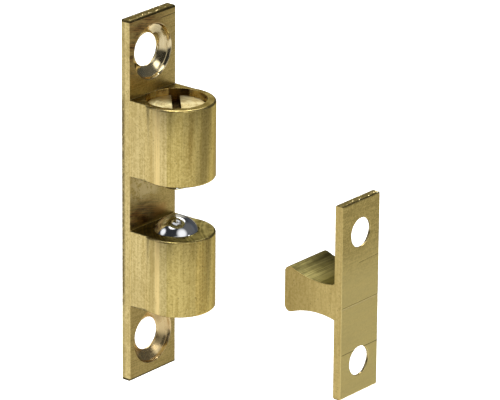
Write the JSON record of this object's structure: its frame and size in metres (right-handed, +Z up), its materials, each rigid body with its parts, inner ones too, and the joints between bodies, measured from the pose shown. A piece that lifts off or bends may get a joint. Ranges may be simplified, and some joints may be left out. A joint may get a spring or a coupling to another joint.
{
  "type": "double ball catch",
  "caption": "Brass cupboard catch: a long case with two sprung steel balls facing each other across a gap, and a T-shaped strike whose flared tongue snaps in between them.",
  "frame": {"origin": "centre of the case's flat back face, half way up it", "axes": "+Z up along the case, +X across it, -Y the way the bosses stand out, so the back face looks along +Y"},
  "size_m": [0.0191, 0.0441, 0.05],
  "materials": {
    "case_brass": "milled and drawn, satin",
    "strike_brass": "drawn, satin",
    "screw_brass": "turned",
    "polished_steel": "polished",
    "spring_steel": "drawn wire"
  },
  "bodies": {
    "case": {"case": "case_brass", "upper_spring": "spring_steel", "lower_spring": "spring_steel"},
    "strike": {"strike": "strike_brass"},
    "upper_ball": {"upper_ball": "polished_steel"},
    "lower_ball": {"lower_ball": "polished_steel"},
    "upper_adjusting_screw": {"upper_adjusting_screw": "screw_brass"},
    "lower_adjusting_screw": {"lower_adjusting_screw": "screw_brass"}
  },
  "joints": [
    {"name": "strike_close", "type": "slide", "parent": "case", "child": "strike", "axis": [0.3153, 0.949, 0], "range_m": [0, 0.03361]},
    {"name": "upper_ball_press", "type": "slide", "parent": "case", "child": "upper_ball", "axis": [0, 0, 1], "range_m": [0, 0.00135], "stiffness_N_per_m": 1500, "springref_m": -0.0025, "deforming": ["upper_spring"]},
    {"name": "lower_ball_press", "type": "slide", "parent": "case", "child": "lower_ball", "axis": [0, 0, -1], "range_m": [0, 0.00135], "stiffness_N_per_m": 1500, "springref_m": -0.0025, "deforming": ["lower_spring"]},
    {"name": "upper_adjusting_screw_turn", "type": "hinge", "parent": "case", "child": "upper_adjusting_screw", "pos_m": [0, -0.00542, 0.01345], "axis": [0, 0, 1], "range_deg": [-180, 180]},
    {"name": "lower_adjusting_screw_turn", "type": "hinge", "parent": "case", "child": "lower_adjusting_screw", "pos_m": [0, -0.00542, -0.01345], "axis": [0, 0, -1], "range_deg": [-180, 180]}
  ],
  "couplings": [
    {"joint": "upper_ball_press", "follows": "strike_close", "ratio": 0.040157},
    {"joint": "lower_ball_press", "follows": "strike_close", "ratio": 0.040157}
  ]
}
